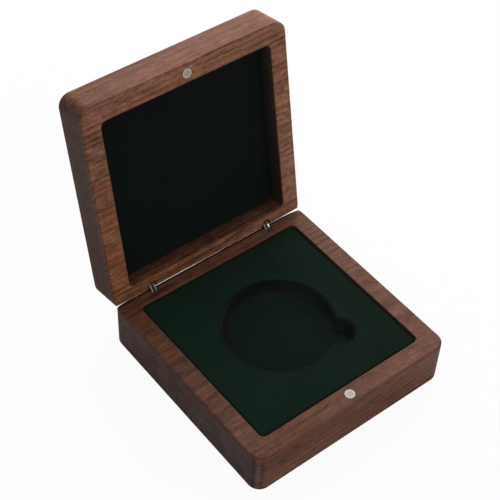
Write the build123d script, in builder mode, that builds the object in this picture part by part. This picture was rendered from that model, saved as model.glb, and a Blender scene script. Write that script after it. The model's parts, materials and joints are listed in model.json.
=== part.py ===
"""Walnut medal storage box, standing open on two double-pivot barrel hinges.

Each half is milled from one block: a square with rounded corners, a pocket, eased rims and a
45 degree bevel along the rear edge, so that the halves can lean back until the bevels close up.
Millimetres, +Z up. The origin is the centre of the underside, -Y is the front with the magnets,
and +Y is the hinge side. The lid stands open, where its own weight holds it.
"""
import os
from math import cos, radians, sin, sqrt

from build123d import *

# The two wooden halves
box_width = 100.0
box_depth = 100.0
base_height = 22.5
lid_height = 17.0
rim_width = 8.6
corner_radius = 5.6
outer_round = 1.8
rim_ease = 0.5
base_pocket_depth = 15.0
lid_pocket_depth = 10.5
pocket_corner_radius = 2.5
pocket_ease = 0.5

# How the halves meet and open
closed_gap = 0.2
open_angle = 100.7
stop_gap = 0.2

# Barrel hinges
hinge_spacing = 62.0
hinge_inset = 3.95
barrel_diameter = 5.0
barrel_length = 7.0
barrel_recess = 0.1
groove_width = 1.4
groove_depth = 0.2
groove_inset = 1.0
glue_gap = 0.04
pin_depth = 2.0
pin_diameter = 1.2
pin_end_clearance = 0.05
link_thickness = 0.8
link_radius = 1.4
link_side_clearance = 0.06
link_end_clearance = 0.25
link_wood_clearance = 0.15
running_clearance = 0.04
centre_prong = 0.9

# Magnets
magnet_diameter = 5.0
magnet_thickness = 2.0
magnet_hole_clearance = 0.05

# Medal insert in the base, and the lining in the lid
velvet_thickness = 0.5
insert_recess = 0.7
insert_board_thickness = 4.7
insert_clearance = 0.25
well_diameter = 48.0
notch_diameter = 12.0
notch_reach = 26.2
lining_board_thickness = 2.6

# Sizes worked out from the ones above
half_angle = radians(open_angle / 2)
link_length = 2 * pin_depth + closed_gap
hinge_y = box_depth / 2 - hinge_inset
arris_reach = hinge_inset * sin(half_angle) - link_length / 2 + stop_gap / 2
rear_bevel = pin_depth + arris_reach / cos(half_angle)
pocket_width = box_width - 2 * rim_width
pocket_length = box_depth - 2 * rim_width
magnet_y = box_depth / 2 - rim_width / 2
slot_width = link_thickness + 2 * link_side_clearance
slot_x = (centre_prong + slot_width) / 2
slot_depth = pin_depth + link_radius + link_end_clearance - barrel_recess
link_relief = 2 * slot_x + link_thickness + 2 * link_wood_clearance
barrel_radius = barrel_diameter / 2
pin_half_length = sqrt(barrel_radius**2 - (pin_diameter / 2) ** 2) - pin_end_clearance
hinge_sides = {"left": -hinge_spacing / 2, "right": hinge_spacing / 2}

# Both halves are drawn in a frame on their rim: Z goes into the wood and Y to the rear.
base_rim = Plane(origin=(0, 0, base_height), x_dir=(-1, 0, 0), z_dir=(0, 0, -1))
base_pin = Vector(0, hinge_y, base_height - pin_depth)
lid_pin = base_pin + Vector(0, sin(half_angle), cos(half_angle)) * link_length
lid_z = Vector(0, sin(2 * half_angle), cos(2 * half_angle))
lid_y = Vector(0, cos(2 * half_angle), -sin(2 * half_angle))
lid_rim = Plane(origin=lid_pin - lid_y * hinge_y - lid_z * pin_depth, x_dir=(1, 0, 0), z_dir=lid_z)
link_middle = (base_pin + lid_pin) / 2
link_along = (lid_pin - base_pin).normalized()

os.makedirs("parts", exist_ok=True)


def save(part, label):
    """Label one finished piece and write it as its own STEP file."""
    part.label = label
    export_step(part, f"parts/{label}.step")


def local_plane(rim, x, y, depth):
    """A plane parallel to a rim, with its origin at a point given in the rim's own frame."""
    return Plane(origin=rim.from_local_coords((x, y, depth)), x_dir=rim.x_dir, z_dir=rim.z_dir)


def side_plane(rim, x, y, depth):
    """A plane across the hinge axis: X to the rear, Y into the wood, its normal along the axis."""
    origin = rim.from_local_coords((x, y, depth))
    return Plane(origin=origin, x_dir=rim.y_dir, z_dir=rim.x_dir)


def bevel_outline():
    """Triangle above the 45 degree rear bevel, in a side plane at the rear edge of the rim."""
    beyond = 1.0
    front_end = (-rear_bevel - beyond, -beyond)
    low_end = (beyond, rear_bevel + beyond)
    Polygon(front_end, (beyond, -beyond), low_end, align=None)


def link_plane(x):
    """The plane that a link plate's outline is drawn in, with its X from pin to pin."""
    return Plane(origin=(x, link_middle.Y, link_middle.Z), x_dir=link_along, z_dir=(1, 0, 0))


def make_half(rim, height, pocket_depth, label):
    """One wooden half: rounded block, pocket, rear bevel, hinge holes, link relief, magnet hole."""
    inward = Axis(rim.origin, rim.z_dir)
    with BuildPart() as half:
        with BuildSketch(rim):
            RectangleRounded(box_width, box_depth, corner_radius)
        extrude(amount=height)
        fillet(half.faces().sort_by(inward)[-1].edges(), outer_round)
        chamfer(half.faces().sort_by(inward)[0].edges(), rim_ease)
        with BuildSketch(rim):
            RectangleRounded(pocket_width, pocket_length, pocket_corner_radius)
        extrude(amount=pocket_depth, mode=Mode.SUBTRACT)
        chamfer(half.faces().sort_by(inward)[0].inner_wires()[0].edges(), pocket_ease)
        with BuildSketch(side_plane(rim, 0, box_depth / 2, 0)):
            bevel_outline()
        extrude(amount=box_width, both=True, mode=Mode.SUBTRACT)
        with BuildSketch(rim):
            with Locations([(x, hinge_y) for x in hinge_sides.values()]):
                Circle(barrel_radius + glue_gap)
        extrude(amount=barrel_recess + barrel_length, mode=Mode.SUBTRACT)
        for x in hinge_sides.values():
            with BuildSketch(link_plane(x)):
                SlotCenterToCenter(link_length, 2 * (link_radius + link_wood_clearance))
            extrude(amount=link_relief / 2, both=True, mode=Mode.SUBTRACT)
        with BuildSketch(rim):
            with Locations((0, -magnet_y)):
                Circle(magnet_diameter / 2 + magnet_hole_clearance)
        extrude(amount=magnet_thickness, mode=Mode.SUBTRACT)
    save(half.part, label)


def make_magnet(rim, label):
    """Disc magnet, flush with the front rim."""
    with BuildPart() as magnet:
        with BuildSketch(local_plane(rim, 0, -magnet_y, 0)):
            Circle(magnet_diameter / 2)
        extrude(amount=magnet_thickness)
    save(magnet.part, label)


def make_barrel(rim, x, label):
    """Hinge barrel: cylinder with a glue groove, two link slots, a cross bore and the wood's bevel."""
    top = local_plane(rim, x, hinge_y, barrel_recess)
    with BuildPart() as barrel:
        with BuildSketch(top):
            Circle(barrel_radius)
        extrude(amount=barrel_length)
        with BuildSketch(top.offset(barrel_length - groove_inset)):
            Circle(barrel_diameter)
            Circle(barrel_radius - groove_depth, mode=Mode.SUBTRACT)
        extrude(amount=-groove_width, mode=Mode.SUBTRACT)
        with BuildSketch(top):
            with Locations((-slot_x, 0), (slot_x, 0)):
                Rectangle(slot_width, 2 * barrel_diameter)
        extrude(amount=slot_depth, mode=Mode.SUBTRACT)
        with BuildSketch(side_plane(rim, x, box_depth / 2, 0)):
            bevel_outline()
        extrude(amount=barrel_diameter, both=True, mode=Mode.SUBTRACT)
        with BuildSketch(side_plane(rim, x, hinge_y, pin_depth)):
            Circle(pin_diameter / 2)
        extrude(amount=barrel_diameter, both=True, mode=Mode.SUBTRACT)
    save(barrel.part, label)


def make_pin(centre, x, label):
    """Cross pin, pressed through a barrel's three prongs."""
    with BuildPart() as pin:
        with BuildSketch(Plane(origin=(x, centre.Y, centre.Z), x_dir=(0, 1, 0), z_dir=(1, 0, 0))):
            Circle(pin_diameter / 2)
        extrude(amount=pin_half_length, both=True)
    save(pin.part, label)


def make_link(x, label):
    """Link plate with a round end about each pin, and a running bore on each."""
    with BuildPart() as link:
        with BuildSketch(link_plane(x)):
            SlotCenterToCenter(link_length, 2 * link_radius)
            with Locations((-link_length / 2, 0), (link_length / 2, 0)):
                Circle(pin_diameter / 2 + running_clearance, mode=Mode.SUBTRACT)
        extrude(amount=link_thickness / 2, both=True)
    save(link.part, label)


def well_outline(margin):
    """Round medal well with the thumb notch towards the front right corner, grown by a margin."""
    Circle(well_diameter / 2 + margin)
    notch_place = notch_reach / sqrt(2)
    with Locations((-notch_place, -notch_place)):
        Circle(notch_diameter / 2 + margin)


def lining_outline(margin):
    """Outline of what lies in a pocket: its clearance inside the walls, drawn in by a margin."""
    inset = insert_clearance + margin
    radius = pocket_corner_radius - inset
    RectangleRounded(pocket_width - 2 * inset, pocket_length - 2 * inset, radius)


# Wooden halves and their magnets
make_half(base_rim, base_height, base_pocket_depth, "base_box")
make_half(lid_rim, lid_height, lid_pocket_depth, "lid_box")
make_magnet(base_rim, "base_magnet")
make_magnet(lid_rim, "lid_magnet")

# Hinges: the base frame's X points the other way, so the side's sign turns with it
for side, side_x in hinge_sides.items():
    make_barrel(base_rim, -side_x, f"{side}_base_barrel")
    make_barrel(lid_rim, side_x, f"{side}_lid_barrel")
    make_pin(base_pin, side_x, f"{side}_base_pin")
    make_pin(lid_pin, side_x, f"{side}_lid_pin")
    outward = 1 if side_x > 0 else -1
    make_link(side_x - outward * slot_x, f"{side}_inner_link")
    make_link(side_x + outward * slot_x, f"{side}_outer_link")

# Medal insert, from the rim down: velvet, cut-out board, floor velvet and foam block
board_top = insert_recess + velvet_thickness
board_bottom = board_top + insert_board_thickness
foam_top = board_bottom + velvet_thickness
into_base = Axis(base_rim.origin, base_rim.z_dir)

with BuildPart() as insert_board:
    with BuildSketch(base_rim.offset(board_top)):
        lining_outline(velvet_thickness)
    extrude(amount=insert_board_thickness)
    with BuildSketch(base_rim.offset(board_top)):
        well_outline(velvet_thickness)
    extrude(amount=insert_board_thickness, mode=Mode.SUBTRACT)
save(insert_board.part, "insert_board")

with BuildPart() as insert_velvet:
    with BuildSketch(base_rim.offset(insert_recess)):
        lining_outline(0)
    extrude(amount=velvet_thickness + insert_board_thickness)
    with BuildSketch(base_rim.offset(insert_recess)):
        well_outline(0)
    extrude(amount=velvet_thickness + insert_board_thickness, mode=Mode.SUBTRACT)
    chamfer(insert_velvet.faces().sort_by(into_base)[0].edges(), velvet_thickness)
    add(insert_board.part, mode=Mode.SUBTRACT)
save(insert_velvet.part, "insert_velvet")

with BuildPart() as well_floor_velvet:
    with BuildSketch(base_rim.offset(board_bottom)):
        lining_outline(0)
    extrude(amount=velvet_thickness)
save(well_floor_velvet.part, "well_floor_velvet")

with BuildPart() as foam_block:
    with BuildSketch(base_rim.offset(foam_top)):
        lining_outline(0)
    extrude(amount=base_pocket_depth - foam_top)
save(foam_block.part, "foam_block")

# Lid lining: a thin board on the pocket's floor, wrapped in velvet
lining_top = lid_pocket_depth - lining_board_thickness
into_lid = Axis(lid_rim.origin, lid_rim.z_dir)

with BuildPart() as lid_lining_board:
    with BuildSketch(lid_rim.offset(lining_top)):
        lining_outline(velvet_thickness)
    extrude(amount=lining_board_thickness)
save(lid_lining_board.part, "lid_lining_board")

with BuildPart() as lid_lining_velvet:
    with BuildSketch(lid_rim.offset(lining_top - velvet_thickness)):
        lining_outline(0)
    extrude(amount=lining_board_thickness + velvet_thickness)
    chamfer(lid_lining_velvet.faces().sort_by(into_lid)[0].edges(), velvet_thickness)
    add(lid_lining_board.part, mode=Mode.SUBTRACT)
save(lid_lining_velvet.part, "lid_lining_velvet")
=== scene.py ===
"""Looks of a walnut medal storage box that stands open on two barrel hinges.

Metres, in the part's own frame: +Z up, -Y towards the front with the magnets, +X to the right.
Each wooden half is drawn in a frame on its rim: x to the right, y to the hinges, depth into the wood.
Patterns on the surfaces are worked out in millimetres.
"""
import json
from math import acos, atan2, cos, pi, radians, sin

import bmesh
import bpy
import numpy as np
from mathutils import Matrix, Vector


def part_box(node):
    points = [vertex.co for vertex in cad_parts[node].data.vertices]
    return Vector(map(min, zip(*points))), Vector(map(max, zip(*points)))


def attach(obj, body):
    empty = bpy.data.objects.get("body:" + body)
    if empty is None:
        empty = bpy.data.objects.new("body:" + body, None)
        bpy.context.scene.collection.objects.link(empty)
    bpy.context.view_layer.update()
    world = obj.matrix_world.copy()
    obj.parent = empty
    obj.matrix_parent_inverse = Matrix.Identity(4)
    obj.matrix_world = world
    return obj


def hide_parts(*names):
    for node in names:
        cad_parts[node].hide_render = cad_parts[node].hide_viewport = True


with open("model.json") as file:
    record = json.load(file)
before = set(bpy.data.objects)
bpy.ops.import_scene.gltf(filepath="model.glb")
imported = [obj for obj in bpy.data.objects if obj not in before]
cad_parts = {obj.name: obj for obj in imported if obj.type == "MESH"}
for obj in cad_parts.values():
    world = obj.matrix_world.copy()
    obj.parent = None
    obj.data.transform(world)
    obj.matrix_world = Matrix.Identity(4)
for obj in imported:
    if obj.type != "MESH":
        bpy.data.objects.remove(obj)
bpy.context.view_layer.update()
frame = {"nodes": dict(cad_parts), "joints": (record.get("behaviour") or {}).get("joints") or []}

MM = 0.001

# Camera, fitted to the photograph with the box at its real size
CAMERA_AZIMUTH = radians(-40.09)
CAMERA_ELEVATION = radians(47.06)
CAMERA_ROLL = radians(2.81)
CAMERA_DISTANCE = 0.5613
CAMERA_TARGET = Vector((0.01128, 0.03416, 0.03060))
FOCUS_TO_FRAME_WIDTH = 2.6001
SENSOR_WIDTH = 36
NEAREST_SEEN = 0.01

# Light: how bright a white surface that faces each one looks, where 1 is white
SKY_LEVEL = 0.30
KEY_LEVEL = 0.95
FRONT_LEVEL = 0.26

# Lamps: where each one stands and how wide it is, and the point that both are aimed at
KEY_PLACE = (0.79, 0.74, 0.77)
KEY_WIDTH = 1.6
FRONT_PLACE = (0.00, -1.21, 0.48)
FRONT_WIDTH = 1.0
LAMP_AIM = Vector((0, 0.01, 0.04))

# Floor: half its side, its gap to the box, how light it is for the box and for the camera and mirrors,
# and how much of the way to plain white the camera sees it
FLOOR_HALF = 3.0
FLOOR_GAP = 0.02 * MM
FLOOR_BOUNCE = 0.60
FLOOR_PAPER = 0.95
FLOOR_GLOW = 0.95

# Wooden halves
RIM_WIDTH = 8.6 * MM
CORNER_RADIUS = 5.6 * MM
OUTER_ROUND = 1.8 * MM
RIM_ROUND = 0.9 * MM
ARRIS_ROUND = 0.45 * MM
POCKET_CORNER = 2.5 * MM
BASE_POCKET_DEPTH = 15.0 * MM
LID_POCKET_DEPTH = 10.5 * MM
EASED_EDGE = 0.15 * MM
BEVEL_BEYOND = 2 * MM
HOLE_BEYOND = 1 * MM
REAR_FACE_REACH = 0.01 * MM

# Where along the hinges the rear bevel is planed less, and how much less, in millimetres
BOW = [(-52, 0.0), (-46, 0.05), (-43, 0.135), (-30, 0.135), (-28, 0.05), (-8, 0.05), (-4, 0.10),
       (1, 0.125), (4, 0.10), (8, 0.125), (12, 0.135), (37, 0.135), (39, 0.09), (42, 0.08), (44, 0.0),
       (52, -0.1)]

# Hinges and magnets
GLUE_GAP = 0.04 * MM
MAGNET_GAP = 0.05 * MM
LINK_ROOM_RADIUS = 1.55 * MM
LINK_ROOM_HALF_WIDTH = 1.46 * MM
MAGNET_EDGE = 0.2 * MM
METAL_EDGE = 0.07 * MM

# Medal insert and linings
CLOTH_THICKNESS = 0.4 * MM
LINING_CORNER = 2.25 * MM
LIP_WIDTH = 1.2 * MM
LIP_DROP = 0.9 * MM
WELL_LIP_WIDTH = 2.0 * MM
WELL_LIP_DROP = 1.7 * MM
WELL_COVE = 1.3 * MM
COVE_TUCK = 0.03 * MM
UNDER_CLOTH = 0.5 * MM
WELL_RADIUS = 24.0 * MM
NOTCH_RADIUS = 6.0 * MM
NOTCH_REACH = 26.2 * MM
NOTCH_DIRECTION = radians(-45)
NOTCH_BLEND = 2.4 * MM
FOAM_EDGE = 0.8 * MM
CORNER_SHARE = 0.9

# How finely curves are drawn. A well's outline, which is a well, two blends and two half notches, has
# as many points as a rounded square, which is four corners and four sides
CORNER_STEPS = 12
SIDE_STEPS = 36
WELL_STEPS = 128
BLEND_STEPS = 10
HALF_NOTCH_STEPS = 22
HOLE_STEPS = 64
LIP_STEPS = 8
LINK_ROOM_POINTS = 17
BEVEL_ROWS = 53
EASE_SEGMENTS = 2
SHARP_EDGE = radians(35)
FLAT_ENOUGH = radians(1)
MERGE_REACH = 0.001 * MM

# Wood: each half's own look. figure is its place in the tree, tones are its colours from dark to light,
# and end_grain is the colour of its ends. The rest are told in walnut()
BASE_WOOD = {
    "figure": (12, 46, 86),
    "tones": [(55, 34, 26), (86, 55, 43), (111, 73, 58), (136, 96, 79)],
    "end_grain": (82, 71, 69),
    "contrast": 0.8, "rings": 0.16, "painted_light_rightward": 0.0009, "painted_shade_at_hinges": 0.05,
    "painted_top_shade": 0.0, "painted_bounce_warmth": 0.0, "end_shade_at_hinges": 0.4, "corner_sheen": 1.0,
}
LID_WOOD = {
    "figure": (230, -70, 58),
    "tones": [(78, 49, 35), (113, 75, 57), (145, 99, 79), (170, 124, 102)],
    "end_grain": (62, 48, 47),
    "contrast": 1.15, "rings": 0.08, "painted_light_rightward": 0.0012, "painted_shade_at_hinges": 0.14,
    "painted_top_shade": 1.0, "painted_bounce_warmth": 0.9, "end_shade_at_hinges": 1.0, "corner_sheen": 0.0,
}
TONE_PLACES = (0.0, 0.33, 0.66, 1.0)

# Wood's noises: what each direction is multiplied by, with the grain along the first, and then the
# noise's scale, detail and roughness, and its distortion if it has one
WOOD_NOISES = {
    "slow": ((0.008, 0.04, 0.04), 1.0, 2.0, 0.5),
    "wave": ((0.03, 0.25, 0.25), 1.0, 2.0, 0.5),
    "strong_rings": ((0.015, 0.10, 0.10), 1.0, 1.0, 0.5),
    "fibre": ((0.08, 1.0, 1.0), 1.2, 4.0, 0.65),
    "fine": ((0.22, 1.0, 1.0), 2.4, 3.0, 0.65),
    "blotch": ((0.40, 0.80, 0.80), 0.55, 3.0, 0.6, 0.8),
    "streak": ((0.02, 0.50, 0.50), 1.0, 3.0, 0.55),
    "cloud": ((0.10, 0.16, 0.16), 1.0, 2.0, 0.5),
    "pore": ((0.16, 1.0, 1.0), 3.4, 1.0, 0.4),
    "warm": ((0.02, 0.09, 0.09), 1.0, 2.0, 0.5),
    "hue": ((0.15, 0.45, 0.45), 1.0, 2.0, 0.5),
}
RING_WIDTH = 2.3

# What wood's colour is multiplied by, in red, green and blue
# WARMER tints both the wood's own warm patches and painted warm bounce light
WARMER = (1.10, 0.98, 0.78)
REDDER = (1.06, 0.97, 1.00)
GREENER = (0.96, 1.03, 0.97)
# Painted shade on faces that face up
PAINTED_SHADE_ON_TOP = (0.70, 0.57, 0.47)
# Painted shade on the end grain at the hinges
PAINTED_END_SHADE = (0.76, 0.60, 0.56)
# Painted sheen low on the left of the base's front face
PAINTED_SHEEN_LOW_LEFT = (1.28, 1.48, 1.66)
GRAIN_LINE = (0.66, 0.61, 0.60)
LINE_SPACING = 3.6
LINE_RISE = 0.05

# Where wood changes, from where to where in millimetres: along the hinges, where shade is painted,
# towards the left rear corner, where warm bounce light is painted, down and along the ends, where shade
# is painted on the end grain towards the hinges, on the base's front, where a sheen is painted low on
# the left, past the pocket's outline and floor, and down it
HINGE_SIDE = (36.0, 46.0)
LEFT_REAR = (10.0, 85.0)
END_BELOW_RIM = (0.5, 4.5)
END_TO_HINGES = (-15.0, 30.0)
FRONT_LOW = (9.0, 16.0)
FRONT_LEFT = (-20.0, 25.0)
LINES_BELOW_RIM = (4.0, 8.0)
LINES_RIGHT = (-45.0, 0.0)
POCKET_MARGIN = (0.25, 0.6)
POCKET_FLOOR_MARGIN = (0.1, 0.2)
DOWN_POCKET = (0.3, 8.0)

# Shade in the pockets, on side-grain walls and on end-grain walls
POCKET_SHADE = (24, 20, 19)
POCKET_END_SHADE = (38, 45, 42)

# Painted bands round an upright corner: a painted sheen band between darker bands. For each, the
# sideways part of the normal at which it starts, is full, falls off and is gone, and what it multiplies
# the colour by
CORNER_SHEEN_BANDS = [
    (0.25, 0.42, 0.48, 0.60, (0.82, 0.82, 0.88)),
    (0.58, 0.70, 0.76, 0.86, (1.42, 1.42, 1.75)),
    (0.86, 0.91, 0.925, 0.97, (0.55, 0.55, 0.57)),
]

# Velvet: its dark and light greens, the lid's painted darker as shade, and how much lighter the
# insert's is painted with each millimetre to the rear and to the left, as painted light
INSERT_GREENS = ((9, 24, 16), (17, 38, 28))
FLOOR_GREENS = ((8, 22, 16), (14, 33, 25))
# The lid's greens are painted darker, as shade in the standing lid
LID_SHADED_GREENS = ((8, 14, 13), (15, 21, 19))
INSERT_PAINTED_LIGHT = 0.003
VELVET_SHEEN = (200, 205, 205)

# Painted light and shade in the well: on its wall, its foot, the notch and the well's floor
WELL_WALL_SHADE = (16, 17, 17)
RIGHT_WALL_PAINTED_LIGHT = (33, 35, 35)
NEAR_WALL_SHADE = (5, 17, 10)
NOTCH_WALL_PAINTED_LIGHT = (36, 38, 37)
REAR_FOOT_PAINTED_LIGHT = (25, 31, 29)
RIGHT_FOOT_PAINTED_LIGHT = (38, 45, 42)
FLOOR_EDGE_SHADE = (19, 22, 21)
FLOOR_RIGHT_EDGE_PAINTED_LIGHT = (34, 40, 37)
NOTCH_FLOOR_SHADE = (17, 28, 23)
NOTCH_END_PAINTED_LIGHT = (26, 35, 30)
FLOOR_SHADE_CENTRE = (0.8, -1.2, 0)
WELL_CENTRE = (0, 0, 0)
NOTCH_CENTRE = (NOTCH_REACH / MM * cos(NOTCH_DIRECTION), NOTCH_REACH / MM * sin(NOTCH_DIRECTION), 0)

# Where the painted light and shade change, from where to where in millimetres: to the right, below the
# insert's top, and out from the centres of the notch, the floor's painted shade and the well
WELL_RIGHT = (0.0, 18.0)
FOOT_RIGHT = (6.0, 20.0)
OVER_LIP = (0.8, 1.6)
DOWN_NOTCH = (0.8, 2.5)
DOWN_TO_FOOT = (2.5, 5.0)
ROUND_NOTCH_WALL = (6.5, 9.0)
BESIDE_NOTCH = (3.0, 9.0)
NOTCH_FLOOR = (4.5, 8.0)
FLOOR_TO_EDGE = (17.0, 24.0)
WELL_TO_NOTCH = (22.0, 30.0)

# Metals: colour, roughness and the colour of dull patches, and the colour and place of a painted
# glint on a link, with how far that reaches, in millimetres
NICKEL_PLATE = ((116, 114, 102), 0.42, (56, 54, 46))
DARK_BRASS = ((92, 76, 64), 0.48, (52, 40, 32))
PIN_STEEL = ((140, 138, 134), 0.35, (80, 78, 74))
GLINT_COLOUR = (236, 232, 226)
GLINT_SPOT = (31.95, 46.75, 22.85)
GLINT_REACH = (0.35, 0.75)

# Magnets: the colours of the face and its scuffs, the rim, and the ring and the edge's painted shade,
# and how far from the middle in millimetres the face ends, the dark ring lies and the painted shade
# at the edge comes in
MAGNET_FACE = ((168, 158, 146), (134, 126, 116))
MAGNET_RIM = (172, 161, 151)
MAGNET_DARK = (66, 56, 48)
MAGNET_FACE_END = (1.15, 1.60)
MAGNET_RING = (0.95, 1.25, 1.35, 1.60)
MAGNET_EDGE_SHADE = (1.95, 2.30)

# Fibreboard's and foam's colours
BOARD_FIBRES = ((168, 136, 104), (203, 174, 140))
BOARD_FLECK = (120, 90, 64)
FOAM_GREYS = ((24, 24, 26), (74, 74, 78))

# A Mix node's sockets for colours: the factor, both colours and the result
MIX_FACTOR = 0
MIX_FIRST = 6
MIX_SECOND = 7
MIX_RESULT = 2

UNTURNED = (0, 0, 0)


class Rim:
    """The frame on a half's rim: a point is origin + x * right + y * rear + depth * inward.

    turned is whether faces drawn in it have to be reversed to look outwards.
    """

    def __init__(self, origin, rear, inward):
        self.origin = np.array(origin, float)
        self.axes = np.array([(1, 0, 0), rear, inward], float)
        self.turned = np.linalg.det(self.axes) > 0

    def to_world(self, x, y, depth):
        """Arrays of x, y and depth as points."""
        return self.origin + np.stack(np.broadcast_arrays(x, y, depth), axis=-1) @ self.axes

    def points_of(self, node):
        """A node's own points in this frame."""
        mesh = frame["nodes"][node].data
        points = np.empty(3 * len(mesh.vertices))
        mesh.vertices.foreach_get("co", points)
        return (points.reshape(-1, 3) - self.origin) @ self.axes.T

    def block_of(self, node):
        """A node's middle, half its width, and its least and greatest depth."""
        points = self.points_of(node)
        low, high = points.min(0), points.max(0)
        return (low + high) / 2, (high[0] - low[0]) / 2, low[2], high[2]


# Both rims' frames, from the pins and the angle that the lid stands open
joints = {joint["name"]: joint for joint in frame["joints"]}
base_pin = np.array(joints["link_swing"]["pos_m"])
lid_pin = np.array(joints["lid_swing"]["pos_m"])
open_angle = radians(sum(joint["range_deg"][1] for joint in joints.values()))
half_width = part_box("base_box")[1].x
base_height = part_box("base_box")[1].z
pin_depth = base_height - base_pin[2]
hinge_y = base_pin[1]
lid_rear = np.array((0, cos(open_angle), -sin(open_angle)))
lid_inward = np.array((0, sin(open_angle), cos(open_angle)))
lid_turn = (-open_angle, 0, 0)
base_rim = Rim((0, 0, base_height), (0, 1, 0), (0, 0, -1))
lid_rim = Rim(lid_pin - lid_rear * hinge_y - lid_inward * pin_depth, lid_rear, lid_inward)
insert_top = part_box("insert_velvet")[1].z / MM


def new_piece(name, points, faces, turned=False):
    """A mesh object at the origin from points and faces; turned reverses the faces."""
    mesh = bpy.data.meshes.new(name)
    mesh.from_pydata(points.tolist(), [], [face[::-1] for face in faces] if turned else faces)
    mesh.update()
    return place_mesh(name, mesh)


def place_mesh(name, mesh):
    """A mesh as an object in the scene, at the origin."""
    piece = bpy.data.objects.new(name, mesh)
    bpy.context.scene.collection.objects.link(piece)
    return piece


def ring_faces(rows, columns):
    """Quads between the rows of a grid whose columns run round and meet."""
    row = np.arange(rows - 1)[:, None]
    column = np.arange(columns)[None, :]
    after = (column + 1) % columns
    corners = (row * columns + column, row * columns + after,
               (row + 1) * columns + after, (row + 1) * columns + column)
    return np.stack(np.broadcast_arrays(*corners), axis=-1).reshape(-1, 4).tolist()


def ring_piece(name, rim, x, y, depth, fill_first=True, fill_last=True):
    """A surface of rows that run round, from deep outside, up, over and in, with its ends filled.

    x and y hold a row for each step and a column for each point round; depth holds one for each row.
    """
    rows, columns = x.shape
    faces = ring_faces(rows, columns)
    if fill_first:
        faces.append(list(range(columns))[::-1])
    if fill_last:
        faces.append(list(range((rows - 1) * columns, rows * columns)))
    points = rim.to_world(x, y, np.asarray(depth)[:, None]).reshape(-1, 3)
    return new_piece(name, points, faces, rim.turned)


def arc(centre_x, centre_y, radius, start, stop, steps):
    """Points along an arc, without its last one; a radius for each row gives a row of points."""
    angle = start + (stop - start) * np.arange(steps) / steps
    radius = np.atleast_1d(radius)[:, None]
    return centre_x + radius * np.cos(angle), centre_y + radius * np.sin(angle)


def circle(middle, radius):
    """A whole circle's points about a middle."""
    return arc(middle[0], middle[1], radius, 0, 2 * pi, HOLE_STEPS)


def quarter(radius, steps):
    """How far a quarter round reaches out and up at each step: r cos t and r sin t."""
    turn = np.linspace(0, pi / 2, steps + 1)
    return radius * np.cos(turn), radius * np.sin(turn)


def rounded_square(half, radius):
    """Rounded squares, a row for each half side and corner radius, from the front right corner's middle.

    A corner's arc and the side after it, turned four times by a quarter.
    """
    half = np.atleast_1d(half)[:, None]
    radius = np.atleast_1d(radius)[:, None]
    turn = pi / 2 * np.arange(CORNER_STEPS) / CORNER_STEPS
    along = (half - radius) * (1 - 2 * np.arange(SIDE_STEPS)[None, :] / SIDE_STEPS)
    out_x = (half - radius) + radius * np.cos(turn)
    out_y = (half - radius) + radius * np.sin(turn)
    piece_x = np.concatenate([out_x, along], axis=1)
    piece_y = np.concatenate([out_y, half * np.ones(SIDE_STEPS)], axis=1)
    turns = [corner * pi / 2 for corner in range(4)]
    x = np.concatenate([piece_x * cos(turn) - piece_y * sin(turn) for turn in turns], axis=1)
    y = np.concatenate([piece_x * sin(turn) + piece_y * cos(turn) for turn in turns], axis=1)
    first = 3 * (CORNER_STEPS + SIDE_STEPS) + CORNER_STEPS // 2
    return np.roll(x, -first, 1), np.roll(y, -first, 1)


def smooth(piece):
    """Smooth shading with sharp edges past an angle, where weighted normals keep flat faces flat."""
    piece.data.shade_smooth()
    piece.data.set_sharp_from_angle(angle=SHARP_EDGE)
    weighted = piece.modifiers.new("flat faces stay flat", "WEIGHTED_NORMAL")
    weighted.keep_sharp = True
    return piece


def ease(piece, width):
    """A small round on a piece's sharp edges."""
    bevel = piece.modifiers.new("eased edges", "BEVEL")
    bevel.width = width
    bevel.segments = EASE_SEGMENTS
    bevel.limit_method = "ANGLE"
    bevel.angle_limit = SHARP_EDGE
    bevel.harden_normals = False
    return piece


def cut(piece, cutters):
    """Takes the cutters out of a piece, and removes them."""
    for cutter in cutters:
        boolean = piece.modifiers.new(cutter.name, "BOOLEAN")
        boolean.operation = "DIFFERENCE"
        boolean.solver = "EXACT"
        boolean.object = cutter
    bpy.context.view_layer.update()
    graph = bpy.context.evaluated_depsgraph_get()
    mesh = bpy.data.meshes.new_from_object(piece.evaluated_get(graph))
    piece.modifiers.clear()
    piece.data = mesh
    for cutter in cutters:
        bpy.data.objects.remove(cutter)
    return piece


def half_body(name, rim, height, pocket_depth):
    """A half before it is cut: one profile carried round a rounded square.

    The profile runs from the outer face over the outer round, up the side, over the rim's round,
    across the rim, over the pocket's arris and down to the pocket's floor.
    """
    pocket_half = half_width - RIM_WIDTH
    outer_out, outer_up = quarter(OUTER_ROUND, steps=8)
    rim_out, rim_up = quarter(RIM_ROUND, steps=6)
    arris_out, arris_up = quarter(ARRIS_ROUND, steps=5)
    half = np.concatenate([
        half_width - OUTER_ROUND + outer_out[::-1],
        half_width - RIM_ROUND + rim_out,
        pocket_half + ARRIS_ROUND - arris_out[::-1],
        [pocket_half],
    ])
    depth = np.concatenate([
        height - OUTER_ROUND + outer_up[::-1],
        RIM_ROUND - rim_up,
        ARRIS_ROUND - arris_up[::-1],
        [pocket_depth],
    ])
    outside = len(outer_out) + len(rim_out)
    radius = CORNER_RADIUS - half_width + half
    radius[outside:] = POCKET_CORNER - pocket_half + half[outside:]
    return ring_piece(name, rim, *rounded_square(half, radius), depth)


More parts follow.
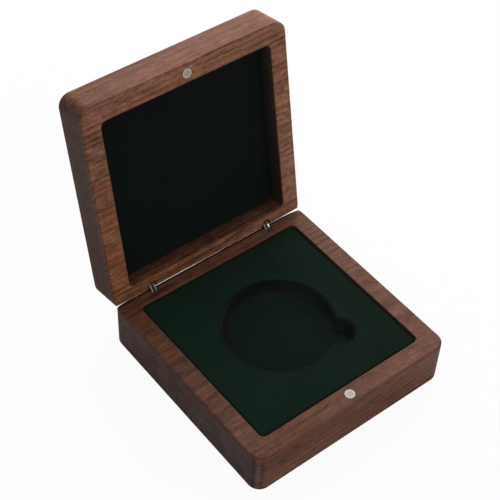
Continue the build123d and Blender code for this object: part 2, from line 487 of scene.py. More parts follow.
def bevel_cutter(rim, bevel):
    """A long block over the rear edge, whose inner face is the 45 degree bevel.

    The bevel is planed a hair less where BOW says so, which is where the open halves touch.
    """
    place, less = np.array(BOW).T * MM
    x = np.linspace(-1, 1, BEVEL_ROWS)[:, None] * (half_width + BEVEL_BEYOND)
    bevel = bevel - np.interp(x, place, less)
    outer_y = 0 * x + half_width + BEVEL_BEYOND
    outer_depth = 0 * x - BEVEL_BEYOND
    y = np.hstack([outer_y, outer_y, half_width - bevel - BEVEL_BEYOND])
    depth = np.hstack([bevel + BEVEL_BEYOND, outer_depth, outer_depth])
    points = rim.to_world(x, y, depth).reshape(-1, 3)
    last = len(points)
    faces = ring_faces(len(x), 3) + [[2, 1, 0], [last - 3, last - 2, last - 1]]
    return new_piece("bevel", points, faces, rim.turned)


def hole_cutter(name, rim, middle, radius, bottom):
    """A round block from above the rim down to a depth."""
    x, y = circle(middle, radius)
    return ring_piece(name, rim, np.repeat(x, 2, 0), np.repeat(y, 2, 0), [bottom, -HOLE_BEYOND])


def link_room(centre_x):
    """The room for the link plates: a slot round both pins, a little wider than the plates."""
    along = (lid_pin - base_pin) / np.linalg.norm(lid_pin - base_pin)
    across = np.cross((1, 0, 0), along)
    turn = np.linspace(0, pi, LINK_ROOM_POINTS)[:, None]
    swing = LINK_ROOM_RADIUS * (across * np.cos(turn) + along * np.sin(turn))
    outline = np.concatenate([lid_pin + swing, base_pin - swing])
    count = len(outline)
    ends = [outline + (centre_x + side * LINK_ROOM_HALF_WIDTH, 0, 0) for side in (-1, 1)]
    faces = ring_faces(2, count) + [list(range(count))[::-1], list(range(count, 2 * count))]
    return new_piece("link_room", np.concatenate(ends), faces, True)


def wooden_half(body, rim, pocket_depth):
    """A wooden half with its rear bevel, magnet hole, hinge holes and link room cut."""
    points = rim.points_of(f"{body}_box")
    rear_face = points[:, 1] > half_width - REAR_FACE_REACH
    cutters = [bevel_cutter(rim, points[rear_face, 2].min())]
    middle, radius, _, bottom = rim.block_of(f"{body}_magnet")
    cutters.append(hole_cutter("magnet_hole", rim, middle, radius + MAGNET_GAP, bottom))
    for side in ("left", "right"):
        middle, radius, _, bottom = rim.block_of(f"{side}_{body}_barrel")
        hinge = (middle[0], hinge_y)
        cutters.append(hole_cutter("hinge_hole", rim, hinge, radius + GLUE_GAP, bottom))
        cutters.append(link_room(middle[0]))
    half = cut(half_body(f"{body}_shell", rim, points[:, 2].max(), pocket_depth), cutters)
    return smooth(ease(half, EASED_EDGE))


def soft_side(top, bottom, radius, steps):
    """A quarter round, a side and a quarter round: how far in and how deep at each step."""
    out, up = quarter(radius, steps)
    edge = radius - np.concatenate([out[::-1], out])
    return edge, np.concatenate([bottom - radius + up[::-1], top + radius - up])


def magnet_disc(name, rim, node):
    """A disc magnet: a soft side turned about its axis."""
    middle, radius, top, bottom = rim.block_of(node)
    edge, depth = soft_side(top, bottom, MAGNET_EDGE, steps=4)
    return smooth(ring_piece(name, rim, *circle(middle, radius - edge), depth))


def soft_slab(name, rim, node, radius, steps):
    """A slab: a soft side carried round a rounded square."""
    _, half, top, bottom = rim.block_of(node)
    edge, depth = soft_side(top, bottom, radius, steps)
    return smooth(ring_piece(name, rim, *rounded_square(half - edge, LINING_CORNER - edge), depth))


def merge(source, result, flatten=False):
    """Writes a mesh into another with its doubled points merged; flatten also joins its flat facets."""
    whole = bmesh.new()
    whole.from_mesh(source)
    bmesh.ops.remove_doubles(whole, verts=whole.verts, dist=MERGE_REACH)
    if flatten:
        bmesh.ops.dissolve_limit(whole, angle_limit=FLAT_ENOUGH, verts=whole.verts, edges=whole.edges)
    whole.to_mesh(result)
    whole.free()


def metal_copy(name, node):
    """A merged copy of a hinge piece with its arrises eased and its round faces shaded round."""
    mesh = bpy.data.meshes.new(name)
    merge(frame["nodes"][node].data, mesh, flatten=True)
    return smooth(ease(place_mesh(name, mesh), METAL_EDGE))


def lip(width, drop):
    """The soft round where cloth turns over a board's edge: how far in and how deep at each step.

    A quarter of an ellipse, from the side face (0, drop) to the top face (width, 0).
    """
    turn = np.linspace(0, pi / 2, LIP_STEPS + 1)
    return width * (1 - np.cos(turn)), drop * (1 - np.sin(turn))


def well_outline(grow):
    """The medal well with its thumb notch, grown by each row's amount, from the notch's far side round.

    Half the notch's circle, a blend the other way, the well's circle, a blend, half the notch. A
    blend's middle is where circles about the well and the notch, both larger by its radius, cross.
    """
    grow = np.atleast_1d(grow)
    blend_reach = WELL_RADIUS + NOTCH_BLEND
    blend_to_notch = NOTCH_RADIUS + NOTCH_BLEND
    squares = blend_reach**2 + NOTCH_REACH**2 - blend_to_notch**2
    well_turn = acos(squares / (2 * blend_reach * NOTCH_REACH))
    blend_x = blend_reach * cos(well_turn)
    blend_y = blend_reach * sin(well_turn)
    notch_turn = atan2(blend_y, blend_x - NOTCH_REACH)
    notch = NOTCH_RADIUS + grow
    blend = NOTCH_BLEND - grow
    pieces = [
        arc(NOTCH_REACH, 0, notch, 0, notch_turn, HALF_NOTCH_STEPS),
        arc(blend_x, blend_y, blend, notch_turn + pi, well_turn + pi, BLEND_STEPS),
        arc(0, 0, WELL_RADIUS + grow, well_turn, 2 * pi - well_turn, WELL_STEPS),
        arc(blend_x, -blend_y, blend, pi - well_turn, pi - notch_turn, BLEND_STEPS),
        arc(NOTCH_REACH, 0, notch, -notch_turn, 0, HALF_NOTCH_STEPS),
    ]
    x = np.concatenate([piece[0] for piece in pieces], axis=1)
    y = np.concatenate([piece[1] for piece in pieces], axis=1)
    turn_cos, turn_sin = cos(NOTCH_DIRECTION), sin(NOTCH_DIRECTION)
    return x * turn_cos - y * turn_sin, x * turn_sin + y * turn_cos


def thicken(piece):
    """Gives a cloth surface its thickness, on the side of the board."""
    solid = piece.modifiers.new("cloth thickness", "SOLIDIFY")
    solid.thickness = CLOTH_THICKNESS
    solid.offset = -1
    solid.use_even_offset = True
    return piece


def covered_board(name, rim, node, with_well):
    """Velvet drawn over a board: up the board's side, over a soft lip and across the top.

    With a well, the cloth goes on over a second lip, down the well's wall and round a small cove onto
    its floor. Without one it closes in the middle.
    """
    _, half, top, bottom = rim.block_of(node)
    inward, drop = lip(LIP_WIDTH, LIP_DROP)
    edge = np.concatenate([[0], inward])
    depth = np.concatenate([[bottom], top + drop])
    x, y = rounded_square(half - edge, LINING_CORNER - edge * CORNER_SHARE)
    if with_well:
        outward, well_drop = lip(WELL_LIP_WIDTH, WELL_LIP_DROP)
        cove_out, cove_down = quarter(WELL_COVE, steps=5)
        well_x, well_y = well_outline(np.concatenate([outward[::-1], cove_out - WELL_COVE]))
        x = np.concatenate([x, well_x])
        y = np.concatenate([y, well_y])
        foot = bottom + COVE_TUCK
        depth = np.concatenate([depth, top + well_drop[::-1], foot - WELL_COVE + cove_down])
    cloth = ring_piece(name, rim, x, y, depth, fill_first=False, fill_last=not with_well)
    return thicken(smooth(cloth))


def cut_board(name, rim, node):
    """The cut-out board under the velvet, with its top edges eased to the cloth's soft lips.

    Up the outer side, over, down the well's wall and back along the underside.
    """
    _, half, top, bottom = rim.block_of(node)
    inward, drop = lip(LIP_WIDTH - UNDER_CLOTH, LIP_DROP - UNDER_CLOTH)
    outward, well_drop = lip(WELL_LIP_WIDTH - UNDER_CLOTH, WELL_LIP_DROP - UNDER_CLOTH)
    edge = np.concatenate([[0], inward])
    x, y = rounded_square(half - edge, LINING_CORNER - UNDER_CLOTH - edge * CORNER_SHARE)
    well_x, well_y = well_outline(UNDER_CLOTH + np.concatenate([outward[::-1], [0]]))
    x = np.concatenate([x, well_x, x[:1]])
    y = np.concatenate([y, well_y, y[:1]])
    drops = np.concatenate([drop, well_drop[::-1]])
    depth = np.concatenate([[bottom], top + drops, [bottom, bottom]])
    piece = ring_piece(name, rim, x, y, depth, fill_first=False, fill_last=False)
    merge(piece.data, piece.data)
    return smooth(piece)


def floor_cloth(name, rim, node):
    """The velvet under the cut-out board, seen as the well's floor: a slab with a half-round edge."""
    _, _, top, bottom = rim.block_of(node)
    return soft_slab(name, rim, node, (bottom - top) / 2, steps=3)


def foam_pad(name, rim, node):
    """The foam block under the insert: a slab with the soft edges that cut foam has."""
    return soft_slab(name, rim, node, FOAM_EDGE, steps=5)


def colour(red, green, blue):
    """A colour given as three 8-bit sRGB numbers, as linear light with full alpha."""
    share = np.array([red, green, blue]) / 255
    linear = np.where(share <= 0.04045, share / 12.92, ((share + 0.055) / 1.055) ** 2.4)
    return (*linear.tolist(), 1.0)


class Value:
    """A socket in a node tree. Arithmetic on it adds Math nodes."""

    def __init__(self, tree, socket):
        self.tree = tree
        self.socket = socket

    def math(self, operation, *values):
        """A Math node on this value and others."""
        inputs = dict(enumerate((self, *values)))
        return self.tree.node("ShaderNodeMath", {"operation": operation}, inputs)

    def __add__(self, other):
        return self.math("ADD", other)

    def __sub__(self, other):
        return self.math("SUBTRACT", other)

    def __mul__(self, other):
        return self.math("MULTIPLY", other)

    def __truediv__(self, other):
        return self.math("DIVIDE", other)

    def __rsub__(self, other):
        return (self * -1) + other

    __radd__ = __add__
    __rmul__ = __mul__

    def size(self):
        """The value without its sign."""
        return self.math("ABSOLUTE")

    def or_more(self, other):
        """The greater of this value and another."""
        return self.math("MAXIMUM", other)

    def step(self, start, stop):
        """0 before start, 1 after stop and smooth between them."""
        settings = {"interpolation_type": "SMOOTHSTEP"}
        inputs = {"Value": self, "From Min": start, "From Max": stop}
        return self.tree.node("ShaderNodeMapRange", settings, inputs)

    def band(self, start, full, falls, gone):
        """1 between full and falls, and 0 before start and after gone."""
        return self.step(start, full) * (1 - self.step(falls, gone))


class Tree:
    """A node tree being written: node() adds any node, and the rest are the ones used most."""

    def __init__(self, tree):
        self.tree = tree
        tree.nodes.clear()

    def node(self, kind, settings=None, inputs=None, output=0):
        """A node of a type, its settings made first, then its sockets' values or links.

        output is the socket that is handed back, or a list of them.
        """
        made = self.tree.nodes.new(kind)
        for name, setting in (settings or {}).items():
            if name == "stops":
                self.set_stops(made.color_ramp, setting)
            else:
                setattr(made, name, setting)
        for name, value in (inputs or {}).items():
            socket = made.inputs[name]
            if isinstance(value, Value):
                self.tree.links.new(value.socket, socket)
            else:
                socket.default_value = value
        if isinstance(output, list):
            return [Value(self, made.outputs[each]) for each in output]
        return Value(self, made.outputs[output]) if len(made.outputs) else None

    @staticmethod
    def set_stops(ramp, stops):
        """A colour ramp's stops, each a place and a colour."""
        while len(ramp.elements) < len(stops):
            ramp.elements.new(1)
        for element, (place, shade) in zip(ramp.elements, stops):
            element.position = place
            element.color = shade

    def mix(self, factor, first, second, blend="MIX"):
        """Two colours mixed by a factor."""
        settings = {"data_type": "RGBA", "blend_type": blend, "clamp_factor": True}
        inputs = {MIX_FACTOR: factor, MIX_FIRST: first, MIX_SECOND: second}
        return self.node("ShaderNodeMix", settings, inputs, MIX_RESULT)

    def tint(self, factor, body, shade):
        """A colour multiplied by a shade, by a factor."""
        return self.mix(factor, body, (*shade, 1), "MULTIPLY")

    def noise(self, place, scale, detail=2.0, roughness=0.5, distortion=0.0):
        """Noise from 0 to 1 about 0.5 at a place."""
        inputs = {"Vector": place, "Scale": scale, "Detail": detail,
                  "Roughness": roughness, "Distortion": distortion}
        return self.node("ShaderNodeTexNoise", None, inputs)

    def vector(self, operation, *places):
        """A Vector Math node on places, as a place."""
        return self.node("ShaderNodeVectorMath", {"operation": operation}, dict(enumerate(places)))

    def measure(self, operation, *places):
        """A Vector Math node on places, as a number."""
        inputs = dict(enumerate(places))
        return self.node("ShaderNodeVectorMath", {"operation": operation}, inputs, "Value")

    def stretch(self, place, x, y, z):
        """A place with its three directions multiplied."""
        return self.vector("MULTIPLY", place, (x, y, z))

    def reach(self, place, centre):
        """How far a place is from a centre's axis along z."""
        away = self.vector("SUBTRACT", place, centre)
        return self.measure("LENGTH", self.stretch(away, 1.0, 1.0, 0.0))

    def parts(self, place):
        """A place's three numbers."""
        return self.node("ShaderNodeSeparateXYZ", None, {0: place}, [0, 1, 2])

    def normal(self):
        """How far the surface faces right, back and up, each from -1 to 1."""
        return self.parts(self.node("ShaderNodeTexCoord", None, None, "Normal"))

    def place(self, location=(0, 0, 0), rotation=UNTURNED):
        """Object coordinates in millimetres, in a frame at a location with a rotation."""
        at = self.node("ShaderNodeTexCoord", None, None, "Object")
        inputs = {"Vector": at, "Location": location, "Rotation": rotation, "Scale": (MM, MM, MM)}
        return self.node("ShaderNodeMapping", {"vector_type": "TEXTURE"}, inputs)

    def bump(self, height, distance, strength):
        """A normal from a height of 0 to 1 that stands for a distance."""
        inputs = {"Height": height, "Distance": distance, "Strength": strength}
        return self.node("ShaderNodeBump", None, inputs)


class Finish(Tree):
    """A material made of nodes around one Principled shader."""

    def __init__(self, name):
        self.material = bpy.data.materials.new(name)
        self.material.use_nodes = True
        super().__init__(self.material.node_tree)

    def shade(self, inputs):
        """The Principled shader with its inputs, and the material."""
        shader = self.node("ShaderNodeBsdfPrincipled", None, inputs)
        self.node("ShaderNodeOutputMaterial", None, {"Surface": shader})
        return self.material


def wood_figure(finish, moved, noise, rings):
    """The wood's figure about 0, which is what makes it lighter or darker from place to place.

    A ring darkens slowly towards its late wood and ends short. Rings are shells about a pith along
    x far off to one side, and are more or less plain by slow noise.
    """
    from_pith = finish.measure("LENGTH", finish.stretch(moved, 0.0, 1.0, 1.0))
    ring = (from_pith / RING_WIDTH + noise["slow"] * 4.0 + noise["wave"] * 0.8).math("FRACT")
    late = ring.band(0.35, 0.90, 0.92, 1.0)
    plain = noise["strong_rings"].step(0.40, 0.65)
    streak = noise["streak"].step(0.42, 0.70)
    return ((noise["fibre"] - 0.5) * 0.9 + (noise["fine"] - 0.5) * 1.1 + (noise["blotch"] - 0.5) * 0.9
            + (noise["cloud"] - 0.5) * 0.5 - late * (rings + plain * 0.28) - streak * 0.18 + 0.11)


def front_grain(finish, body, front, right, depth, noise):
    """The base's front face: a painted sheen low on the left, with dark layers that rise to the right.
    """
    # Painted sheen low on the left
    sheen_low_left = depth.step(*FRONT_LOW) * (1 - right.step(*FRONT_LEFT))
    body = finish.tint(front * sheen_low_left, body, PAINTED_SHEEN_LOW_LEFT)
    level = depth + right * LINE_RISE + noise["slow"] * 1.5 + noise["wave"] * 2.5
    line = (level / LINE_SPACING).math("FRACT").band(0.20, 0.60, 0.60, 0.75)
    line = line * depth.step(*LINES_BELOW_RIM) * (0.35 + right.step(*LINES_RIGHT) * 0.65)
    return finish.tint(front * line, body, GRAIN_LINE)


def walnut(name, location, rotation, figure, tones, end_grain, contrast, rings, painted_light_rightward, painted_shade_at_hinges,
           painted_top_shade, painted_bounce_warmth, end_shade_at_hinges, corner_sheen):
    """Oiled black walnut, with its grain along x, in a half's own frame.

    Fibres and pores are noise drawn out along the grain, so that they show as streaks on long faces
    and as dots on the ends. contrast is how strong the figure is, and rings how strong the growth rings
    are on their own. The six after rings are, in order: how much lighter the wood is painted with each
    millimetre to the right, as painted light; how much darker it is painted along the hinges, as painted
    shade; how much browner and darker it is painted where it faces up in the open box, as painted shade;
    how much warmer it is painted to the left and the hinges, as painted warm light bounced off the wood;
    how much darker the end grain is painted at the hinges, as painted shade; and how strongly the
    upright corners show painted sheen bands. The half without painted shade on top is the base, which
    has the front face's grain.
    """
    finish = Finish(name)
    at = finish.place(location, rotation)
    moved = finish.vector("ADD", at, figure)
    noise = {kind: finish.noise(finish.stretch(moved, *squeeze), *values)
             for kind, (squeeze, *values) in WOOD_NOISES.items()}
    right, rear, out = finish.parts(at)
    aside, along, up = finish.normal()
    depth = out.size()
    sideways = aside.size()
    end = sideways.step(0.35, 0.90)

    # The pocket's walls, told from the outside by where they are, for both halves alike
    pocket_half = (half_width - RIM_WIDTH) / MM
    deepest = BASE_POCKET_DEPTH / MM
    outline = [pocket_half + margin for margin in POCKET_MARGIN]
    floor = [deepest + margin for margin in POCKET_FLOOR_MARGIN]
    off_centre = right.size().or_more(rear.size())
    in_pocket = (1 - off_centre.step(*outline)) * (1 - depth.step(*floor))

    # Tone and hue of long grain
    figured = wood_figure(finish, moved, noise, rings)
    # Painted light makes the wood lighter to the right, and painted shade makes it darker along the
    # hinges
    tone = 0.5 + figured * contrast + right * painted_light_rightward - rear.step(*HINGE_SIDE) * painted_shade_at_hinges
    stops = [(place, colour(*shade)) for place, shade in zip(TONE_PLACES, tones)]
    body = finish.node("ShaderNodeValToRGB", {"stops": stops}, {"Fac": tone})
    # The wood's own warm patches, and warmth painted towards the left and the hinges as light bounced
    # off the wood
    warm = noise["warm"].step(0.40, 0.65) * 0.6 + (rear - right).step(*LEFT_REAR) * painted_bounce_warmth
    body = finish.tint(warm, body, WARMER)
    hue = finish.mix(noise["hue"].step(0.35, 0.65), (*REDDER, 1), (*GREENER, 1))
    body = finish.mix(0.8, body, hue, "MULTIPLY")
    # Painted shade: faces that face up in the open box are painted browner and darker
    on_top = up.step(0.5, 0.95) * (1 - in_pocket)
    body = finish.tint(on_top * painted_top_shade, body, PAINTED_SHADE_ON_TOP)
    pore = noise["pore"].step(0.62, 0.74)
    body = finish.mix(pore * 0.4, body, colour(*tones[0]))

    # End grain, which is mottled and grows plainer below the rim
    mottle = finish.noise(finish.stretch(at, 1.0, 0.6, 1.0), 0.20, 5.0, 0.65).step(0.36, 0.64)
    dull, bright = [colour(*(shade * share for shade in end_grain)) for share in (0.87, 1.13)]
    end_share = end * (0.45 + depth.step(*END_BELOW_RIM) * 0.35)
    body = finish.mix(end_share, body, finish.mix(mottle, dull, bright))
    # Painted shade: the end grain is painted darker towards the hinges
    body = finish.tint(end * rear.step(*END_TO_HINGES) * end_shade_at_hinges, body, PAINTED_END_SHADE)

    # The base's front face, and painted sheen bands on upright corners
    # The half without painted shade on top is the base
    front = (along * -1).step(0.80, 0.95) * (1 - painted_top_shade)
    body = front_grain(finish, body, front, right, depth, noise)
    upright = (1 - up.size().step(0.10, 0.35)) * (1 - in_pocket) * corner_sheen
    # A painted sheen band between darker bands on each upright corner
    for *places, shade in CORNER_SHEEN_BANDS:
        body = finish.tint(sideways.band(*places) * upright, body, shade)

    # Shade that gathers down the pocket's walls
    shaded = finish.mix(end, colour(*POCKET_SHADE), colour(*POCKET_END_SHADE))
    shade_share = in_pocket * (0.15 + depth.step(*DOWN_POCKET) * 0.40 + end * 0.40)
    body = finish.mix(shade_share, body, shaded)
    relief = noise["fibre"] * 0.45 + noise["fine"] * 0.35 - pore * 0.6
    return finish.shade({
        "Base Color": body,
        "Roughness": 0.50 + noise["fine"] * 0.08 + end * 0.10,
        "Specular IOR Level": 0.11,
        "Normal": finish.bump(relief, 0.03 * MM, 0.5),
    })


def paint_well_wall_shading(finish, at, body):
    """The insert's cloth where it turns down into the well, painted with light and shade.

    The wall is painted dark as shade, and painted lighter where it faces left and in the notch, and
    green at its foot on the right against the shade there. The near side, which faces the hinges and
    the right, is painted dark green up over the lip, as painted shade.
    """
    right, rear, out = finish.parts(at)
    aside, along, up = finish.normal()
    sunk = insert_top - out
    far_side = (right + rear * 0.2).step(*WELL_RIGHT)
    toward_rear = (aside * 1.5 + along).step(0.05, 0.40)
    # Painted shade over the lip and down the wall, with painted light where the wall faces left, in the
    # notch and at its foot
    painted_shading = (1 - up.step(0.75, 0.995)).or_more(sunk.step(*OVER_LIP)).or_more(toward_rear)
    wall = finish.mix((aside * -1).step(0.3, 1.0), colour(*WELL_WALL_SHADE), colour(*RIGHT_WALL_PAINTED_LIGHT))
    from_notch = finish.reach(at, NOTCH_CENTRE)
    in_notch = (1 - from_notch.step(*ROUND_NOTCH_WALL)) * sunk.step(*DOWN_NOTCH)
    wall = finish.mix(in_notch, wall, colour(*NOTCH_WALL_PAINTED_LIGHT))
    to_right = (right - rear * 0.6).step(*FOOT_RIGHT)
    foot = finish.mix(to_right, colour(*REAR_FOOT_PAINTED_LIGHT), colour(*RIGHT_FOOT_PAINTED_LIGHT))
    wall = finish.mix(far_side * sunk.step(*DOWN_TO_FOOT), wall, foot)
    wall = finish.mix(toward_rear, wall, colour(*NEAR_WALL_SHADE))
    return finish.mix(painted_shading, body, wall)


def paint_well_floor_shading(finish, at, body):
    """The well's floor, painted darker towards its edge as shade, lighter on the right, and in the
    notch.
    """
    right, rear, _ = finish.parts(at)
    from_notch = finish.reach(at, NOTCH_CENTRE)
    # Painted shade towards the floor's edge, painted light on its right, and painted shade in the notch
    # lightening to its end
    edge = finish.reach(at, FLOOR_SHADE_CENTRE).step(*FLOOR_TO_EDGE)
    far_side = (right + rear * 0.2).step(*WELL_RIGHT) * from_notch.step(*BESIDE_NOTCH)
    painted_edge = finish.mix(far_side, colour(*FLOOR_EDGE_SHADE), colour(*FLOOR_RIGHT_EDGE_PAINTED_LIGHT))
    body = finish.mix(edge, body, painted_edge)
    beyond_well = finish.reach(at, WELL_CENTRE).step(*WELL_TO_NOTCH)
    painted_notch = finish.mix(beyond_well, colour(*NOTCH_FLOOR_SHADE), colour(*NOTCH_END_PAINTED_LIGHT))
    return finish.mix(1 - from_notch.step(*NOTCH_FLOOR), body, painted_notch)


def velvet(name, greens, location=(0, 0, 0), rotation=UNTURNED, painted_light_rate=0.0, painted_shading=None):
    """Short-pile green velvet: soft clouds where the nap lies differently, and a fine pile.

    Its fifth argument is how much lighter the cloth is painted with each millimetre to the rear and
    to the left, as painted light, and its last paints light and shade into the cloth in the well.
    """
    finish = Finish(name)
    at = finish.place(location, rotation)
    cloud = finish.noise(at, 0.07, 3.0, 0.55)
    brushed = finish.noise(finish.stretch(at, 1.0, 0.35, 1.0), 0.5, 3.0, 0.6)
    pile = finish.noise(at, 5.0, 2.0, 0.7)
    right, rear, _ = finish.parts(at)
    # Painted light: the cloth is painted lighter towards the rear and the left
    tone = cloud * 0.5 + brushed * 0.3 + pile * 0.2 + (rear - right) * painted_light_rate
    body = finish.mix(tone.step(0.1, 0.9), *[colour(*green) for green in greens])
    if painted_shading:
        body = painted_shading(finish, at, body)
    return finish.shade({
        "Base Color": body,
        "Roughness": 0.92,
        "Specular IOR Level": 0.05,
        "Sheen Weight": 0.035,
        "Sheen Roughness": 0.6,
        "Sheen Tint": colour(*VELVET_SHEEN),
        "Normal": finish.bump(pile, 0.05 * MM, 0.5),
    })


def plated(name, body, roughness, stain, glint=None):
    """Plated metal: fine tool marks, and dull patches where the plating has darkened.

    Its last argument is a place in millimetres where a painted glint is put, where the metal is
    smoother.
    """
    finish = Finish(name)
    at = finish.place()
    marks = finish.noise(finish.stretch(at, 0.3, 4.0, 4.0), 3.0, 2.0, 0.6)
    patch = finish.noise(at, 0.9, 3.0, 0.6).step(0.42, 0.68)
    tone = finish.mix(patch * 0.7, colour(*body), colour(*stain))
    tone = finish.mix(marks * 0.25, tone, colour(*stain))
    roughness = roughness + patch * 0.18 + marks * 0.08
    if glint:
        # A painted glint, on a spot where the metal is also smoother
        shine = 1 - finish.measure("DISTANCE", at, glint).step(*GLINT_REACH)
        tone = finish.mix(shine, tone, colour(*GLINT_COLOUR))
        roughness = roughness - shine * 0.15
    return finish.shade({
        "Base Color": tone,
        "Metallic": 1.0,
        "Roughness": roughness,
        "Normal": finish.bump(marks, 0.01 * MM, 0.4),
    })


def magnet_nickel(name, location, rotation):
    """Nickel on a disc magnet: a scuffed face, a faint dark ring, a bright rim and painted shade at the
    edge.
    """
    finish = Finish(name)
    at = finish.place(location, rotation)
    reach = finish.reach(at, (0, 0, 0))
    face = 1 - reach.step(*MAGNET_FACE_END)
    ring = reach.band(*MAGNET_RING)
    scuff = finish.noise(finish.stretch(at, 5.0, 0.8, 1.0), 1.5, 4.0, 0.7)
    # Painted shade at the edge, where the magnet meets its hole
    edge = reach.step(*MAGNET_EDGE_SHADE)
    dull = finish.mix(scuff, *[colour(*shade) for shade in MAGNET_FACE])
    body = finish.mix(face, colour(*MAGNET_RIM), dull)
    body = finish.mix(ring * 0.10 + edge * 0.8, body, colour(*MAGNET_DARK))
    return finish.shade({
        "Base Color": body,
        "Metallic": 1.0,
        "Roughness": 0.65 + scuff * 0.1,
        "Normal": finish.bump(scuff, 0.01 * MM, 0.3),
    })


def fibreboard(name):
    """Bare fibreboard: matted short fibres."""
    finish = Finish(name)
    at = finish.place()
    mat = finish.noise(finish.stretch(at, 1.0, 1.0, 2.5), 1.6, 5.0, 0.7, 0.6)
    fleck = finish.noise(finish.stretch(at, 2.0, 0.6, 2.0), 1.2, 2.0).step(0.62, 0.7)
    body = finish.mix(mat, *[colour(*fibre) for fibre in BOARD_FIBRES])
    body = finish.mix(fleck * 0.6, body, colour(*BOARD_FLECK))
    return finish.shade({
        "Base Color": body,
        "Roughness": 0.88,
        "Normal": finish.bump(mat, 0.1 * MM, 0.6),
    })


def foam(name):
    """Dense dark foam: small open cells."""
    finish = Finish(name)
    inputs = {"Vector": finish.place(), "Scale": 1.6}
    cell = finish.node("ShaderNodeTexVoronoi", {"feature": "F1"}, inputs, "Distance")
    wall = cell.step(0.15, 0.6)
    body = finish.mix(wall, *[colour(*grey) for grey in FOAM_GREYS])
    return finish.shade({
        "Base Color": body,
        "Roughness": 0.95,
        "Specular IOR Level": 0.2,
        "Normal": finish.bump(wall, 0.25 * MM, 0.8),
    })


def dress(piece, body, material, node):
    """A new piece rides on a body, takes a finish and stands for its node."""
    piece.data.materials.clear()
    piece.data.materials.append(material)
    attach(piece, body)
    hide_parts(node)
    return piece


def refinish(node, material):
    """A node that stays takes a finish."""
    for slot in frame["nodes"][node].material_slots:
        slot.material = material


# Finishes
base_wood = walnut("walnut_base", base_rim.origin.tolist(), UNTURNED, **BASE_WOOD)
lid_wood = walnut("walnut_lid", lid_rim.origin.tolist(), lid_turn, **LID_WOOD)
insert_cloth = velvet("velvet_insert", INSERT_GREENS, painted_light_rate=INSERT_PAINTED_LIGHT, painted_shading=paint_well_wall_shading)
floor_velvet = velvet("velvet_floor", FLOOR_GREENS, painted_shading=paint_well_floor_shading)
lid_cloth = velvet("velvet_lid", LID_SHADED_GREENS, lid_rim.origin.tolist(), lid_turn)
hinge_plate = plated("nickel_plate", *NICKEL_PLATE)
glint_plate = plated("nickel_plate_glint", *NICKEL_PLATE, GLINT_SPOT)
barrel_metal = plated("dark_brass", *DARK_BRASS)
pin_metal = plated("pin_steel", *PIN_STEEL)
board = fibreboard("fibreboard")
foam_cells = foam("foam_cells")

# Wooden halves
dress(wooden_half("base", base_rim, BASE_POCKET_DEPTH), "base", base_wood, "base_box")
dress(wooden_half("lid", lid_rim, LID_POCKET_DEPTH), "lid", lid_wood, "lid_box")

# Magnets
for body, rim, turn in (("base", base_rim, UNTURNED), ("lid", lid_rim, lid_turn)):
    node = f"{body}_magnet"
    nickel = magnet_nickel(f"nickel_{node}", rim.to_world(*rim.block_of(node)[0]).tolist(), turn)
    dress(magnet_disc(f"{node}_disc", rim, node), body, nickel, node)

# Hinges: of the four link plates, only the right outer one has the painted glint
for side, outer_plate in (("left", hinge_plate), ("right", glint_plate)):
    for body, name, slot, metal in (("base", "base_barrel", "hinge_metal", barrel_metal),
                                    ("lid", "lid_barrel", "hinge_metal", barrel_metal),
                                    ("hinge_links", "inner_link", "hinge_metal", hinge_plate),
                                    ("hinge_links", "outer_link", "hinge_metal", outer_plate),
                                    ("base", "base_pin", "pin_steel", pin_metal),
                                    ("lid", "lid_pin", "pin_steel", pin_metal)):
        node = f"{side}_{name}"
        dress(metal_copy(f"{node}_metal", node), body, metal, node)

# Medal insert, lid lining and what they lie on
insert = dress(covered_board("insert_cloth", base_rim, "insert_velvet", True),
               "base", insert_cloth, "insert_velvet")
well_floor = dress(floor_cloth("well_floor_cloth", base_rim, "well_floor_velvet"),
                   "base", floor_velvet, "well_floor_velvet")
lining = dress(covered_board("lid_lining_cloth", lid_rim, "lid_lining_velvet", False),
               "lid", lid_cloth, "lid_lining_velvet")
pad = dress(foam_pad("foam_pad", base_rim, "foam_block"), "base", foam_cells, "foam_block")
dress(cut_board("insert_board_eased", base_rim, "insert_board"), "base", board, "insert_board")
refinish("lid_lining_board", board)


def wrapped_size(rim, node):
    """The side of the square that a board's cover is cut to: its top and both skirts."""
    _, half, top, bottom = rim.block_of(node)
    return 2 * (half + bottom - top)


insert_cut = wrapped_size(base_rim, "insert_velvet")
floor_cut = 2 * base_rim.block_of("well_floor_velvet")[1]
lining_cut = wrapped_size(lid_rim, "lid_lining_velvet")


def make_camera():
    """The camera: back along its view from the target, then rolled about that line."""
    back = Vector((sin(CAMERA_AZIMUTH) * cos(CAMERA_ELEVATION),
                   -cos(CAMERA_AZIMUTH) * cos(CAMERA_ELEVATION), sin(CAMERA_ELEVATION)))
    level = Vector((0, 0, 1)).cross(back).normalized()
    upright = back.cross(level)
    right = level * cos(CAMERA_ROLL) + upright * sin(CAMERA_ROLL)
    up = upright * cos(CAMERA_ROLL) - level * sin(CAMERA_ROLL)
    data = bpy.data.cameras.new("camera")
    data.sensor_width = SENSOR_WIDTH
    data.lens = SENSOR_WIDTH * FOCUS_TO_FRAME_WIDTH
    data.clip_start = NEAREST_SEEN
    camera = bpy.data.objects.new("camera", data)
    turn = Matrix((right, up, back)).transposed().to_4x4()
    camera.matrix_world = Matrix.Translation(CAMERA_TARGET + back * CAMERA_DISTANCE) @ turn
    bpy.context.scene.collection.objects.link(camera)
    bpy.context.scene.camera = camera


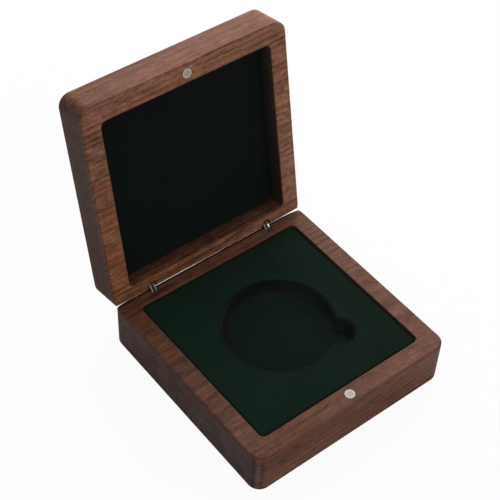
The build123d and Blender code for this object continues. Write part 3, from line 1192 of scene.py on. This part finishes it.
def soft_lamp(name, place, width, level):
    """A round lamp aimed at the box, whose power gives a facing white surface the level."""
    away = Vector(place) - LAMP_AIM
    data = bpy.data.lights.new(name, "AREA")
    data.shape = "DISK"
    data.size = width
    spread = 1 + (width / 2 / away.length) ** 2
    data.energy = level * pi**2 * away.length**2 * spread
    lamp = bpy.data.objects.new(name, data)
    lamp.location = place
    lamp.rotation_mode = "QUATERNION"
    lamp.rotation_quaternion = away.to_track_quat("Z", "Y")
    bpy.context.scene.collection.objects.link(lamp)


def seen(tree):
    """1 for camera, mirror and glass rays, which see the white background, and 0 for the rest."""
    kinds = [f"Is {kind} Ray" for kind in ("Camera", "Glossy", "Transmission")]
    camera, mirror, glass = tree.node("ShaderNodeLightPath", None, None, kinds)
    return camera.or_more(mirror).or_more(glass)


def make_world():
    """White behind everything, and a softer even light on the box."""
    world = bpy.data.worlds.new("studio")
    world.use_nodes = True
    bpy.context.scene.world = world
    tree = Tree(world.node_tree)
    strength = SKY_LEVEL + seen(tree) * (1 - SKY_LEVEL)
    sky = tree.node("ShaderNodeBackground", None, {"Color": (1, 1, 1, 1), "Strength": strength})
    tree.node("ShaderNodeOutputWorld", None, {"Surface": sky})


def make_floor():
    """A wide white floor that keeps a soft shadow and is white elsewhere."""
    corners = np.array([(-1, -1, 0), (1, -1, 0), (1, 1, 0), (-1, 1, 0)]) * FLOOR_HALF
    floor = new_piece("floor", corners - (0, 0, FLOOR_GAP), [[0, 1, 2, 3]])
    tree = Finish("floor_white")
    bounce = tree.node("ShaderNodeBsdfDiffuse", None, {"Color": (FLOOR_BOUNCE,) * 3 + (1,)})
    paper = tree.node("ShaderNodeBsdfDiffuse", None, {"Color": (FLOOR_PAPER,) * 3 + (1,)})
    glow = tree.node("ShaderNodeEmission", None, {"Color": (1, 1, 1, 1), "Strength": 1.0})
    white = tree.node("ShaderNodeMixShader", None, {0: seen(tree), 1: bounce, 2: paper})
    direct = tree.node("ShaderNodeLightPath", None, None, "Is Camera Ray")
    lit = tree.node("ShaderNodeMixShader", None, {0: direct * FLOOR_GLOW, 1: white, 2: glow})
    tree.node("ShaderNodeOutputMaterial", None, {"Surface": lit})
    floor.data.materials.append(tree.material)


make_camera()
make_world()
make_floor()
soft_lamp("key_lamp", KEY_PLACE, KEY_WIDTH, KEY_LEVEL)
soft_lamp("front_lamp", FRONT_PLACE, FRONT_WIDTH, FRONT_LEVEL)
bpy.context.scene.view_settings.view_transform = "Standard"
